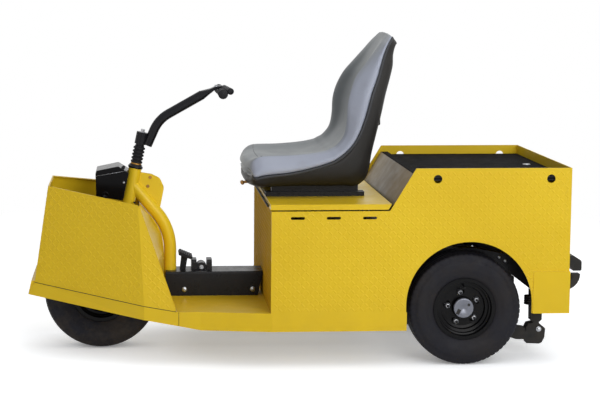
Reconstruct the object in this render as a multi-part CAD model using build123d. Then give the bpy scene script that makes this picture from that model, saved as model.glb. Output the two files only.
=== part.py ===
from build123d import *
from collections import namedtuple
import math
import os

# Airport baggage tug: three wheels, tiller steering, bucket seat over the battery box, load bed behind.
# Millimetres. +Z up, the tug faces -Y, its left side is +X.
# While the pieces are drawn, Y is measured from the rear axle and Z from the floor;
# export moves them so that the origin lies on the floor in the middle of the plan outline.

REAR_AXLE_Y = 534.5          # rear axle behind the middle of the plan outline
FRONT_END = -1602.0          # foremost edge of the nose skirt
WHEELBASE = 1332.0
HALF_WIDTH = 381.0           # outer face of the bumper wrap
WRAP = 3.0                   # bumper wrap's sheet
SHEET = 4.0                  # body sheet
SIDE_X = HALF_WIDTH - WRAP   # outer face of the side sheets
INNER_X = SIDE_X - SHEET     # inner face of the side sheets
SLIT = 2.0                   # gap left between sheets that are bolted edge to edge

# Levels
SKIRT_LOW = 135.0            # lower edge of the sill skirts
FLOOR_TOP = 203.0            # footwell floor, and the foot of the side sheets
BODY_LOW = 196.0             # lower edge of the body behind the wheels
BOX_TOP = 576.0              # top of the side sheets beside the seat
LID_TOP = 601.0
LID_FLANGE = 20.0
LID_SHEET = 3.0
DECK_TOP = 695.0             # face of the mat on the load bed
MAT = 6.0
SIDE_TOP = 730.0             # top of the side sheets round the load bed

# Stations along the tug
BOX_FRONT = -714.0
SLANT_LOW = (-283.0, 579.0)
SLANT_HIGH = (-192.0, 730.0)
REAR_FACE = 377.0
BUMPER_FRONT = 245.0
BUMPER_TOP = 350.0
SKIRT_JOINT = -1046.0        # where the sill skirt meets the nose skirt

# Vent slots and tie-down holes in each side sheet
SLOT_Y = (-619.0, -489.0, -358.0)
SLOT_Z = 551.0
SLOT_LENGTH = 51.0
SLOT_HEIGHT = 10.0
TIE_Y = (-113.0, 301.0)
TIE_Z = 691.0
TIE_R = 15.5

# Wheels
REAR_R = 207.5
FRONT_R = 218.0
TYRE_W = 120.0
TRACK_X = 305.0
BEAD_R = 104.0
RIM_FLANGE_R = 114.0
RIM_HALF = 46.0              # half the width over the rim flanges
DISC_X = 8.0                 # outboard face of the wheel disc, from the wheel's middle
DISC_THICK = 5.0
LUG_PCD = 114.3
LUG_HOLE_R = 7.0
HUB_R = 36.0
AXLE_R = 20.0
FRONT_AXLE_R = 12.0
RUNNING_GAP = 0.05           # radial clearance of a shaft in its bore

# Wheel arch in each side sheet
ARCH_Y = 10.0
ARCH_Z = 230.0
ARCH_R = 231.0

# Frame rails: under the floor, up over the axle and down to the tail
RAIL_INNER = 180.0
RAIL_OUTER = 225.0
RAIL_DEPTH = 50.0
RAIL_WALL = 5.0
RAIL_HIGH = 410.0

# Steering head: a raked axis through the top of the head tube
HEAD_Y = -1202.0
HEAD_Z = 689.0
RAKE = 11.6                  # degrees, top of the axis leaning back
HEAD_R = 25.0
HEAD_LENGTH = 190.0
STEM_R = 16.0
STEM_TOP = 140.0             # along the axis, above the head tube
FORK_X = 75.0                # inner face of each fork leg
FORK_LEG = 12.0
AXLE_DROP = FRONT_R - HEAD_Z     # front axle from the head's top, up
AXLE_BACK = -WHEELBASE - HEAD_Y  # and rearward
RAKE_SIN = math.sin(math.radians(RAKE))
RAKE_COS = math.cos(math.radians(RAKE))
AXLE_ALONG = AXLE_BACK * RAKE_SIN + AXLE_DROP * RAKE_COS   # the same place, along the steering axis
AXLE_AHEAD = AXLE_BACK * RAKE_COS - AXLE_DROP * RAKE_SIN   # and square to it

# Nose cowl corners on the left side (x, y, z)
NOSE_TOP = (150.0, -1525.0, 642.0)
NOSE_LOW = (157.0, -1578.0, 281.0)
NOSE_KICK = (154.0, FRONT_END, 235.0)
FOLD_TOP = (303.0, -1192.0, 590.0)
FOLD_LOW = (340.0, -1172.0, 226.0)
FOLD_KICK = (340.0, -1172.0, 175.0)
COWL_REAR_LOW = (340.0, -1056.0, 204.9)
SKIRT_REAR_TOP = (340.0, SKIRT_JOINT, 203.0)
SKIRT_REAR_LOW = (340.0, SKIRT_JOINT, 151.0)
SILL_TURN = -710.0           # the sill leaves the body's side here
SILL_STRAIGHT = -965.0       # and runs straight again from here

# Curved tube from the floor to the steering head
TUBE_R = 24.0
TUBE_Y = -1069.0
TUBE_BEND_Z = 376.0
TUBE_BEND_R = 220.0
TUBE_TURN = 40.0
SHIELD = 3.0                 # leg shield's sheet
SHIELD_GAP = 4.0             # leg shield ahead of the tube, to its front face

# Pedal tunnel
TUNNEL_HALF = 60.0
TUNNEL_TOP = 296.0
TUNNEL_FRONT = -1087.0

# Tiller
TILLER_R = 18.0
TILLER_POINTS = ((-1156.0, 776.0), (-1112.0, 875.0), (-946.0, 969.0))
TILLER_BEND_R = 130.0
TILLER_TIP = (-902.0, 991.0)
GRIP_Y = -880.0
GRIP_Z = 988.0
GRIP_R = 18.5
GRIP_HALF = 188.0

# Hitch: a hook under a swinging jaw, round one throat
HITCH_Y = 470.0
HITCH_Z = 264.0
HITCH_OUTER = 61.0
THROAT_R = 33.0
HOOK_HALF = 16.0
JAW_HALF = 26.0
JAW_PIN_Y = 412.0
JAW_PIN_Z = 322.0
JAW_PIN_R = 9.0

# Seat
RAIL_X = 150.0
SLIDE_FRONT = -717.0
SLIDE_REAR = -347.0
PAN_LOW = 650.0
Station = namedtuple("Station", "seam ridge seam_x ridge_x dish bow shell")
# seam and ridge are (y, z); seam_x and ridge_x are half widths; dish is how far the middle of the
# padding lies below its side ridges, bow how far its back curves away, shell the depth of the pan
SEAT = (
    Station((-790, 694), (-799, 722), 222, 196, 4, 0, 22),
    Station((-781, 681), (-795, 740), 236, 203, 8, 0, 26),
    Station((-735, 687), (-752, 757), 243, 205, 16, 0, 36),
    Station((-632, 703), (-640, 760), 246, 205, 20, 0, 53),
    Station((-545, 723), (-556, 767), 246, 205, 20, 0, 74),
    Station((-480, 744), (-500, 777), 246, 205, 18, 4, 110),
    Station((-455, 758), (-480, 786), 246, 205, 17, 8, 140),
    Station((-430, 778), (-458, 799), 246, 205, 18, 12, 158),
    Station((-397, 812), (-433, 832), 246, 205, 24, 18, 113),
    Station((-372, 858), (-423, 880), 246, 205, 36, 22, 94),
    Station((-350, 925), (-420, 941), 245, 204, 42, 25, 90),
    Station((-334, 985), (-408, 993), 240, 193, 42, 25, 90),
    Station((-311, 1045), (-384, 1048), 222, 165, 38, 25, 84),
    Station((-296, 1090), (-349, 1092), 203, 150, 26, 25, 74),
    Station((-280, 1134), (-312, 1137), 180, 133, 12, 24, 62),
    Station((-262, 1170), (-282, 1174), 160, 117, 4, 22, 50),
    Station((-242, 1195), (-252, 1207), 128, 92, -4, 12, 34),
)


# ---------------------------------------------------------------- helpers

def mirrored(shape):
    return shape.mirror(Plane.YZ)


def joined(shapes):
    body = shapes[0]
    for shape in shapes[1:]:
        body = body + shape
    return body


def side_wire(points):
    """A closed outline in the tug's side view, from (y, z) points."""
    return Wire(Polyline(*[(0, y, z) for y, z in points], close=True).edges())


def across(wire, x_low, x_high):
    """A side-view outline made solid between two x planes."""
    return Pos(x_low, 0, 0) * extrude(Face(wire), amount=x_high - x_low, dir=(1, 0, 0))


def block(x, y, z):
    """A box from its (low, high) limits on each axis."""
    size = [limits[1] - limits[0] for limits in (x, y, z)]
    middle = [(limits[0] + limits[1]) / 2 for limits in (x, y, z)]
    return Pos(*middle) * Box(*size)


def rod(radius, start, end):
    """A round bar between two points."""
    path = Vector(*end) - Vector(*start)
    return extrude(Plane(start, z_dir=path) * Circle(radius), amount=path.length)


def cross_rod(radius, y, z, x_low, x_high):
    return rod(radius, (x_low, y, z), (x_high, y, z))


def ruled_sheet(row_a, row_b, direction, thickness):
    """A folded sheet ruled between two rows of points, thick along one direction."""
    solids = []
    for i in range(len(row_a) - 1):
        corners = [row_a[i], row_a[i + 1], row_b[i + 1], row_b[i]]
        for triangle in (corners[:3], [corners[0], corners[2], corners[3]]):
            if len(set(triangle)) == 3:
                face = Face(Wire(Polyline(*triangle, close=True).edges()))
                solids.append(extrude(face, amount=thickness, dir=direction))
    return joined(solids)


def on_slant(z):
    """Y of the side sheets' slanted edge at height z."""
    run = (SLANT_HIGH[0] - SLANT_LOW[0]) / (SLANT_HIGH[1] - SLANT_LOW[1])
    return SLANT_LOW[0] + run * (z - SLANT_LOW[1])


# ---------------------------------------------------------------- floor, rails and skirts

def floor_pan():
    front_x = FOLD_LOW[0] - SHEET - SLIT
    back_x = INNER_X - SLIT
    near = [(38, TUBE_Y - TUBE_R + 1), (front_x, COWL_REAR_LOW[1] + 5), (front_x, SILL_STRAIGHT),
            (back_x, SILL_TURN - SLIT), (back_x, on_slant(590) + 11)]
    outline = near + [(-x, y) for x, y in reversed(near)]
    face = Face(Wire(Polyline(*[(x, y, FLOOR_TOP - SHEET) for x, y in outline], close=True).edges()))
    return extrude(face, amount=SHEET, dir=(0, 0, 1))


def rail():
    """Pressed channel, open inward: low under the floor, over the axle, then down to the tail."""
    top = FLOOR_TOP - SHEET
    low = top - RAIL_DEPTH

    def profile(inset):
        return side_wire([
            (-1040, low + inset), (-1040, top - inset), (-250 - inset, top - inset),
            (-175 - inset, RAIL_HIGH - inset), (60, RAIL_HIGH - inset), (175, 388 - inset),
            (REAR_FACE - SHEET, 330 - inset), (REAR_FACE - SHEET, BODY_LOW + 4 + inset),
            (346 + inset, BODY_LOW + 4 + inset), (213 + inset, 302 + inset), (150, 345 + inset),
            (-130 + inset, 345 + inset), (-215 + inset, low + inset)])

    channel = across(profile(0), RAIL_INNER, RAIL_OUTER)
    return channel - across(profile(RAIL_WALL), RAIL_INNER - 10, RAIL_OUTER - RAIL_WALL)


def sill():
    """The smooth skirt under the side sheet, running in at the front to meet the nose skirt."""
    inner = FOLD_LOW[0]
    stations = [(SIDE_X, ARCH_Y - ARCH_R + 3), (SIDE_X, SILL_TURN), (inner, SILL_STRAIGHT), (inner, SKIRT_JOINT + 1)]
    top = [(x, y, FLOOR_TOP) for x, y in stations]
    low = [(x, y, SKIRT_LOW) for x, y in stations]
    low[-1] = (inner, SKIRT_JOINT + 1, SKIRT_REAR_LOW[2])
    return ruled_sheet(top, low, (-1, 0, 0), SHEET)


# ---------------------------------------------------------------- side sheets and bed

def side_outline():
    front = ARCH_Y - ARCH_R
    back = ARCH_Y + ARCH_R
    edge = Polyline(*[(0, y, z) for y, z in (
        (front, ARCH_Z), (front, FLOOR_TOP), (BOX_FRONT, FLOOR_TOP), (BOX_FRONT, BOX_TOP),
        (on_slant(BOX_TOP), BOX_TOP), SLANT_HIGH, (REAR_FACE, SIDE_TOP), (REAR_FACE, BODY_LOW),
        (back, BODY_LOW), (back, ARCH_Z))])
    arch = ThreePointArc((0, back, ARCH_Z), (0, ARCH_Y, ARCH_Z + ARCH_R), (0, front, ARCH_Z))
    return Wire(edge.edges() + arch.edges())


def side_sheet():
    sheet = across(side_outline(), INNER_X, SIDE_X)
    cut = (INNER_X - 10, SIDE_X + 10)
    for y in TIE_Y:
        sheet -= cross_rod(TIE_R, y, TIE_Z, *cut)
    end = (SLOT_LENGTH - SLOT_HEIGHT) / 2
    for y in SLOT_Y:
        sheet -= block(cut, (y - end, y + end), (SLOT_Z - SLOT_HEIGHT / 2, SLOT_Z + SLOT_HEIGHT / 2))
        for side in (-1, 1):
            sheet -= cross_rod(SLOT_HEIGHT / 2, y + side * end, SLOT_Z, *cut)
    return sheet


def seat_box_front():
    """Front wall of the battery box, flanged back along its top."""
    back = BOX_FRONT + SHEET
    outline = [(BOX_FRONT, FLOOR_TOP), (BOX_FRONT, BOX_TOP), (back + 22, BOX_TOP), (back + 22, BOX_TOP - SHEET),
               (back, BOX_TOP - SHEET), (back, FLOOR_TOP)]
    return across(side_wire(outline), -INNER_X, INNER_X)


def divider():
    """Slanted panel behind the seat, folded to a bulkhead below and over the bed's front edge above."""
    low_y = on_slant(590) + 14
    high_y = on_slant(704) + 14
    lip = DECK_TOP - MAT
    outline = [(low_y, FLOOR_TOP), (low_y, 590), (high_y, 704), (high_y + 24, 704), (high_y + 24, lip),
               (high_y + 21, lip), (high_y + 21, 701), (high_y + 2, 701), (low_y + 3, 589),
               (low_y + 3, FLOOR_TOP)]
    return across(side_wire(outline), -INNER_X, INNER_X)


def deck():
    """Bed plate with stiffening folds under its front and rear edges."""
    top = DECK_TOP - MAT
    front = on_slant(704) + 20
    back = REAR_FACE - SHEET
    plate = block((-INNER_X, INNER_X), (front, back), (top - SHEET, top))
    for y in (front, back - SHEET):
        plate += block((-INNER_X + 20, INNER_X - 20), (y, y + SHEET), (top - 40, top))
    return plate


def deck_mat():
    margin = INNER_X - SLIT
    return block((-margin, margin), (on_slant(704) + 39, REAR_FACE - SHEET - SLIT), (DECK_TOP - MAT, DECK_TOP))


def rear_panel():
    return block((-INNER_X, INNER_X), (REAR_FACE - SHEET, REAR_FACE), (BODY_LOW, SIDE_TOP))


def bumper():
    """Plain wrap round the tail, outside the side sheets."""
    wrap = block((-HALF_WIDTH, HALF_WIDTH), (BUMPER_FRONT, REAR_FACE + WRAP), (BODY_LOW - 1, BUMPER_TOP))
    return wrap - block((-SIDE_X, SIDE_X), (BUMPER_FRONT - 10, REAR_FACE), (BODY_LOW - 10, BUMPER_TOP + 10))


def battery():
    case = block((-320, 320), (-690, -300), (FLOOR_TOP, 520))
    return fillet(case.edges().filter_by(Axis.Z), 8)


# ---------------------------------------------------------------- nose cowl

def cowl_side():
    """Angled side plate and the narrow triangle behind its fold."""
    panel = ruled_sheet([NOSE_TOP, FOLD_TOP], [NOSE_LOW, FOLD_LOW], (-1, 0, 0), SHEET)
    wedge = ruled_sheet([FOLD_TOP, FOLD_TOP], [FOLD_LOW, COWL_REAR_LOW], (-1, 0, 0), SHEET)
    return panel + wedge


def cowl_front():
    left = [(x - SHEET, y, z) for x, y, z in (NOSE_TOP, NOSE_LOW)]
    return ruled_sheet([(-x, y, z) for x, y, z in left], left, (0, 1, 0), SHEET)


def cowl_skirt():
    """Smooth band round the foot of the nose, kicked forward at the front."""
    side = ruled_sheet([NOSE_LOW, FOLD_LOW, SKIRT_REAR_TOP], [NOSE_KICK, FOLD_KICK, SKIRT_REAR_LOW],
                       (-1, 0, 0), SHEET)
    front = ruled_sheet([(-NOSE_LOW[0], *NOSE_LOW[1:]), (-NOSE_KICK[0], *NOSE_KICK[1:])],
                        [NOSE_LOW, NOSE_KICK], (0, 1, 0), SHEET)
    return side + mirrored(side) + front


def firewall():
    """Leg shield: a strip that follows the curved tube, with wings out to the cowl's rear edges."""
    gap = TUBE_R + SHIELD_GAP
    half = 38
    strip = [(half, TUBE_Y - gap, FLOOR_TOP - SHEET)]
    for turned in (0, TUBE_TURN / 2, TUBE_TURN):
        y, z, away_y, away_z = on_bend(turned)
        strip.append((half, y - gap * away_y, z - gap * away_z))
    rise = 70
    strip.append((half, strip[-1][1] - rise * away_z, strip[-1][2] + rise * away_y))
    edge = []
    for share in (0.98, 0.52, 0.36, 0.25, 0.02):
        x, y, z = [low + share * (high - low) for low, high in zip(FOLD_TOP, COWL_REAR_LOW)]
        edge.append((x - SHEET - 1, y, z))
    wing = ruled_sheet(strip, edge, (0, 1, 0), SHIELD)
    middle = ruled_sheet([(-x, y, z) for x, y, z in strip], strip, (0, 1, 0), SHIELD)
    return wing + middle + mirrored(wing)


# ---------------------------------------------------------------- steering column, fixed side

def raked(shape):
    """Place a piece drawn along the steering axis: local z along it, local y to the rear."""
    return Pos(0, HEAD_Y, HEAD_Z) * Rot(-RAKE, 0, 0) * shape


def axis_cylinder(radius, low, high):
    """A cylinder on the steering axis, between two stations along it."""
    return Pos(0, 0, (low + high) / 2) * Cylinder(radius, high - low)


def head_core():
    return raked(axis_cylinder(HEAD_R, -HEAD_LENGTH, 1))


def head_tube():
    """Steering head with the gusset plate over the curved tube."""
    tube = axis_cylinder(HEAD_R, -HEAD_LENGTH, 0) - axis_cylinder(STEM_R + RUNNING_GAP, -HEAD_LENGTH - 1, 1)
    outline = Polyline((0, -1195, 675), (0, -1140, 666), (0, -1108, 650), (0, -1092, 614), (0, -1108, 532),
                       (0, -1130, 545), (0, -1205, 640), close=True)
    plate = across(Wire(outline.edges()), -4, 4)
    corners = [e for e in plate.edges().filter_by(Axis.X) if -1145 < e.center().Y < -1090 and e.center().Z > 600]
    plate = fillet(corners, 26)
    return raked(tube) + (plate - head_core() - main_tube_solid())


def on_bend(turned):
    """Centre line of the tube's bend after so many degrees, and the outward normal there."""
    away_y = math.cos(math.radians(turned))
    away_z = math.sin(math.radians(turned))
    return (TUBE_Y - TUBE_BEND_R * (1 - away_y), TUBE_BEND_Z + TUBE_BEND_R * away_z, away_y, away_z)


def main_tube_solid():
    """Round tube: upright from the floor, one bend, then straight up into the steering head."""
    y, z, away_y, away_z = on_bend(TUBE_TURN)
    rise = 150.0
    low = Line((0, TUBE_Y, FLOOR_TOP), (0, TUBE_Y, TUBE_BEND_Z))
    bend = ThreePointArc((0, TUBE_Y, TUBE_BEND_Z), (0, *on_bend(TUBE_TURN / 2)[:2]), (0, y, z))
    high = Line((0, y, z), (0, y - rise * away_z, z + rise * away_y))
    path = Wire(low.edges() + bend.edges() + high.edges())
    return sweep(Plane((0, TUBE_Y, FLOOR_TOP), z_dir=(0, 0, 1)) * Circle(TUBE_R), path=path)


def main_tube():
    """The tube, its end coped round the steering head."""
    ahead = raked(Pos(0, -200, -100) * Box(100, 400, 600))
    return main_tube_solid() - raked(axis_cylinder(HEAD_R, -400, 100)) - ahead


def control_box():
    """Electrical box clamped to the front of the steering head, with a round boss on each side."""
    outline = [(-1350, 590), (-1352, 690), (-1348, 703), (-1264, 722), (-1233, 693), (-1257, 573)]
    box = across(side_wire(outline), -65, 65)
    box = chamfer(box.faces().sort_by(Axis.X)[-1].edges() + box.faces().sort_by(Axis.X)[0].edges(), 3)
    for side in (-1, 1):
        boss = cross_rod(13, -1315, 606, 0, 70) - cross_rod(7, -1315, 606, 60, 80)
        box += boss if side > 0 else mirrored(boss)
    return box - head_core()


def tunnel():
    """Long cover on the footwell floor with the pedal pivot's two tabs and its hub on top."""
    cover = across(side_wire([(TUNNEL_FRONT, FLOOR_TOP), (TUNNEL_FRONT, TUNNEL_TOP), (-715, TUNNEL_TOP),
                              (-735, FLOOR_TOP)]), -TUNNEL_HALF, TUNNEL_HALF)
    cover -= rod(TUBE_R + 1, (0, TUBE_Y, FLOOR_TOP - 10), (0, TUBE_Y, TUNNEL_TOP + 10))
    long_edges = cover.edges().filter_by(Axis.Y).group_by(Axis.Z)[-1]
    cover = fillet(long_edges, 8)
    for y in (-988, -929):
        tab = block((-34, 34), (y, y + 20), (TUNNEL_TOP - 4, 337))
        cover += fillet(tab.edges().filter_by(Axis.Y).group_by(Axis.Z)[-1], 12)
    return cover + cross_rod(19, -949, 307, -26, 26)


def brake_pedal():
    """Rubber-faced pad on a short stalk that comes up through the tunnel's cover."""
    pad = across(side_wire([(-1038, 357), (-1033, 369), (-980, 347), (-991, 340)]), -38, 38)
    pad = fillet(pad.edges().filter_by(Axis.X), 3)
    stalk = across(side_wire([(-1025, 356), (-1001, 347), (-1010, TUNNEL_TOP), (-1032, TUNNEL_TOP)]), -10, 10)
    return pad + stalk


# ---------------------------------------------------------------- steering, moving side

def fork():
    """Stem through the head, crown, two legs and the front axle."""
    crown_low = -HEAD_LENGTH - 47
    crown_high = -HEAD_LENGTH - 13
    stem = axis_cylinder(STEM_R, crown_low, STEM_TOP)
    collar = axis_cylinder(24, 2, 14)
    crown = Pos(0, -4, (crown_low + crown_high) / 2) * Box(2 * (FORK_X + FORK_LEG), 70, crown_high - crown_low)
    body = stem + collar + fillet(crown.edges().filter_by(Axis.X), 8)
    outline = Polyline((0, -34, crown_high - 6), (0, 26, crown_high - 6), (0, AXLE_AHEAD + 22, AXLE_ALONG),
                       (0, AXLE_AHEAD - 22, AXLE_ALONG), close=True)
    for side in (-1, 1):
        leg = extrude(Face(Wire(outline.edges())), amount=FORK_LEG, dir=(side, 0, 0))
        body += Pos(side * FORK_X, 0, 0) * leg
        middle = side * (FORK_X + FORK_LEG / 2)
        body += Pos(middle, AXLE_AHEAD, AXLE_ALONG) * Rot(0, 90, 0) * Cylinder(22, FORK_LEG)
    body += Pos(0, AXLE_AHEAD, AXLE_ALONG) * Rot(0, 90, 0) * Cylinder(FRONT_AXLE_R, 200)
    return raked(body)


def steer_boot():
    """Ribbed rubber bellows on the stem, over the head's bearing nut."""
    low, pitch, ribs = 22, 13.4, 5
    crest, root = 22.5, 18.0
    bore = STEM_R + 0.2
    profile = [(bore, low)]
    for i in range(ribs):
        start = low + pitch * i
        profile += [(crest, start), (crest, start + 0.45 * pitch), (root, start + 0.6 * pitch),
                    (root, start + 0.85 * pitch)]
    profile.append((bore, low + pitch * ribs))
    face = Face(Wire(Polyline(*[(r, 0, z) for r, z in profile], close=True).edges()))
    return raked(revolve(face, Axis.Z))


def tiller_tube():
    start, corner, end = [(0, y, z) for y, z in TILLER_POINTS]
    path = FilletPolyline(start, corner, end, radius=[TILLER_BEND_R])
    return sweep(Plane(start, z_dir=Vector(*corner) - Vector(*start)) * Circle(TILLER_R), path=path)


def tiller_tip():
    """The tube's end pressed flat, where the handle is bolted."""
    _, corner, end = [Vector(0, y, z) for y, z in TILLER_POINTS]
    tip = Vector(0, *TILLER_TIP)
    along = (end - corner).normalized()
    root = Plane(end - along * 2, x_dir=(1, 0, 0), z_dir=along) * Circle(TILLER_R - 0.5)
    flat = Plane(tip, x_dir=(1, 0, 0), z_dir=along) * Ellipse(24, 6)
    return loft([root, flat])


def tiller_bar():
    """Clamp on the stem, the bent tube welded behind it and the flattened tip."""
    clamp = axis_cylinder(22, 94, STEM_TOP) - axis_cylinder(STEM_R, 90, STEM_TOP + 5)
    tube = tiller_tube() - raked(axis_cylinder(STEM_R, -200, 300))
    return raked(clamp) + tube + tiller_tip()


def tiller_handle():
    """Crossbar with end grips, and the lever behind its left half."""
    bar = cross_rod(12, GRIP_Y, GRIP_Z, -GRIP_HALF + 2, GRIP_HALF - 2)
    bar += cross_rod(GRIP_R - 2, GRIP_Y, GRIP_Z, -50, 50)
    for side in (-1, 1):
        bar += cross_rod(GRIP_R, GRIP_Y, GRIP_Z, *sorted((side * 66, side * GRIP_HALF)))
    lever = cross_rod(12, GRIP_Y + 36, GRIP_Z + 5, 26, 150)
    lever = fillet(lever.edges(), 5)
    arm = block((28, 44), (GRIP_Y, GRIP_Y + 36), (GRIP_Z - 5, GRIP_Z + 11))
    return bar + lever + arm - tiller_tip()


# ---------------------------------------------------------------- wheels

def tyre(radius):
    """Section turned about the axle: beads, bulging walls and a crowned tread."""
    half = TYRE_W / 2
    bulge = BEAD_R + 0.55 * (radius - BEAD_R)
    bead = RIM_HALF - 4.5
    section = [(BEAD_R, bead), (RIM_FLANGE_R + 1.5, bead + 2), (bulge, half), (radius - 8, half - 12)]
    near = [(r, 0, z) for r, z in section]
    far = [(r, 0, -z) for r, z in section]
    edges = Polyline(near[1], near[0], far[0], far[1]).edges() + Spline(*near[1:]).edges()
    edges += ThreePointArc(near[3], (radius, 0, 0), far[3]).edges() + Spline(*far[1:]).edges()
    return Rot(0, 90, 0) * revolve(Face(Wire(edges)), Axis.Z)


def rim_section(hub_low, hub_high, bore):
    """(radius, axial) outline of a pressed wheel: flanges, bead seats, stepped well and dished disc."""
    out = RIM_HALF
    face, back = DISC_X, DISC_X - DISC_THICK
    outboard = [(BEAD_R, out - 4), (RIM_FLANGE_R, out - 2), (RIM_FLANGE_R, out), (BEAD_R - 3, out),
                (BEAD_R - 6, out - 12), (93, out - 14), (91, out - 24), (82, face + 12), (79, face + 2),
                (70, face), (HUB_R + 4, face), (HUB_R, hub_high), (bore, hub_high)]
    inboard = [(bore, hub_low), (HUB_R, hub_low), (HUB_R, back), (81, back), (86, back + 5), (86, -out + 16),
               (BEAD_R - 6, -out + 8), (BEAD_R - 4, -out), (RIM_FLANGE_R, -out), (RIM_FLANGE_R, -out + 2),
               (BEAD_R, -out + 4), (BEAD_R - 1, -out + 10), (BEAD_R - 8, -out + 18), (BEAD_R - 8, out - 18)]
    return outboard + inboard


def rim(hub_low, hub_high, bore):
    section = rim_section(hub_low, hub_high, bore)
    face = Face(Wire(Polyline(*[(r, 0, z) for r, z in section], close=True).edges()))
    body = revolve(face, Axis.Z)
    for i in range(5):
        angle = math.radians(72 * i)
        reach = LUG_PCD / 2
        body -= Pos(-reach * math.cos(angle), reach * math.sin(angle), DISC_X) * Cylinder(LUG_HOLE_R, 30)
    return Rot(0, 90, 0) * body


# ---------------------------------------------------------------- drive unit and springs

def drive_unit():
    """Axle tubes with brake drums, the gear case and the traction motor ahead of it."""
    body = cross_rod(38, 0, REAR_R, -240, 240)
    for side in (-1, 1):
        drum = cross_rod(78, 0, REAR_R, 240, TRACK_X - 10)
        drum += cross_rod(AXLE_R, 0, REAR_R, 235, TRACK_X + 32)
        body += drum if side > 0 else mirrored(drum)
    case = cross_rod(92, 0, REAR_R, -58, 58)
    body += chamfer(case.edges(), 10)
    motor = rod(82, (0, -250, REAR_R + 22), (0, -60, REAR_R + 22))
    body += fillet(motor.edges().sort_by(Axis.Y)[0], 14)
    return body + rod(64, (0, -70, REAR_R + 10), (0, -20, REAR_R + 10))


def spring():
    """Leaf pack under the axle: saddle and U-bolt plate, front hanger, rear shackle block and bump stop."""
    x = (RAIL_INNER + 4, RAIL_OUTER - 1)
    pack = [[(-300, 148), (-150, 140), (0, 130), (150, 122), (262, 104), (262, 92), (150, 110), (0, 118),
             (-150, 128), (-300, 136)],
            [(-230, 138), (0, 119), (150, 111), (268, 92), (268, 78), (150, 99), (0, 107), (-225, 126)],
            [(-160, 123), (0, 108), (150, 100), (268, 79), (268, 60), (227, 61), (150, 88), (0, 96), (-155, 111)]]
    body = joined([across(side_wire(points), *x) for points in pack])
    body += block(x, (-42, 42), (88, 172)) - cross_rod(38.5, 0, REAR_R, x[0] - 5, x[1] + 5)
    rail_low = FLOOR_TOP - SHEET - RAIL_DEPTH
    hanger = [(-330, 130), (-334, rail_low), (-272, rail_low), (-276, 130)]
    body += across(side_wire(hanger), *x)
    shackle = [(266, 75), (265, 105), (273, 120), (293, 124), (293, 126), (283, 132), (281, 249), (324, 216),
               (324, 136), (314, 126), (314, 122), (338, 102), (336, 69), (327, 49), (317, 43), (268, 45)]
    body += across(side_wire(shackle), *x)
    for i in range(4):
        low = 192 + 9 * i
        body += rod(20, (204, 280, low), (204, 280, low + 5))
    return body


# ---------------------------------------------------------------- hitch

def hitch_body():
    """Mounting plate and the hook that curves up round the throat."""
    plate = block((-62, 62), (REAR_FACE + WRAP, REAR_FACE + WRAP + 12), (206, 346))
    for side in (-1, 1):
        for z in (222, 330):
            plate -= rod(6.5, (side * 46, REAR_FACE, z), (side * 46, REAR_FACE + 20, z))
    ring = cross_rod(HITCH_OUTER, HITCH_Y, HITCH_Z, -HOOK_HALF, HOOK_HALF)
    root = block((-HOOK_HALF, HOOK_HALF), (REAR_FACE + WRAP + 10, HITCH_Y), (HITCH_Z - HITCH_OUTER, HITCH_Z + 12))
    hook = ring + root
    hook -= cross_rod(THROAT_R, HITCH_Y, HITCH_Z, -HOOK_HALF - 1, HOOK_HALF + 1)
    hook -= block((-HOOK_HALF - 1, HOOK_HALF + 1), (HITCH_Y - THROAT_R, HITCH_Y + 90), (HITCH_Z + 2, HITCH_Z + 90))
    hook -= block((-HOOK_HALF - 1, HOOK_HALF + 1), (REAR_FACE + 30, HITCH_Y), (HITCH_Z + 10, HITCH_Z + 90))
    ears = None
    for side in (-1, 1):
        ear = across(side_wire([(REAR_FACE + WRAP + 10, 296), (REAR_FACE + WRAP + 10, 344), (JAW_PIN_Y, 344),
                                (JAW_PIN_Y + 16, 332), (JAW_PIN_Y + 16, 306)]), JAW_HALF + 5, JAW_HALF + 15)
        ear = ear if side > 0 else mirrored(ear)
        ears = ear if ears is None else ears + ear
    pin = cross_rod(JAW_PIN_R, JAW_PIN_Y, JAW_PIN_Z, -JAW_HALF - 19, JAW_HALF + 19)
    return plate + hook + ears + pin


def hitch_jaw():
    """Upper jaw, hung on its pin, that closes the throat over the hook's tip."""
    low = 281
    outline = Polyline((0, 404, 314), (0, 404, 334), (0, 440, 341), (0, 500, 341), (0, 533, 320), (0, 533, 284),
                       (0, 528, low), (0, 500, low), (0, 488, 300), (0, 452, 300), (0, 436, 296), close=True)
    jaw = across(Wire(outline.edges()), -JAW_HALF, JAW_HALF)
    jaw = fillet([e for e in jaw.edges().filter_by(Axis.X) if e.center().Y > 525 and e.center().Z > 300], 14)
    return jaw - cross_rod(JAW_PIN_R + RUNNING_GAP, JAW_PIN_Y, JAW_PIN_Z, -JAW_HALF - 1, JAW_HALF + 1)


# ---------------------------------------------------------------- seat and lid

def seat_lid():
    """Tray-shaped cover of the battery box, its rear edge slanted like the side sheets."""
    low = LID_TOP - LID_FLANGE
    gap = 9
    rear_top = on_slant(LID_TOP) - gap
    rear_low = on_slant(low) - gap
    front = BOX_FRONT - LID_SHEET
    tray = across(side_wire([(front, low), (front, LID_TOP), (rear_top, LID_TOP), (rear_low, low)]), -SIDE_X, SIDE_X)
    inside = [(BOX_FRONT, low - 5), (BOX_FRONT, LID_TOP - LID_SHEET),
              (rear_top + 20, LID_TOP - LID_SHEET), (rear_low + 20, low - 5)]
    return tray - across(side_wire(inside), -SIDE_X + LID_SHEET, SIDE_X - LID_SHEET)


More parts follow.
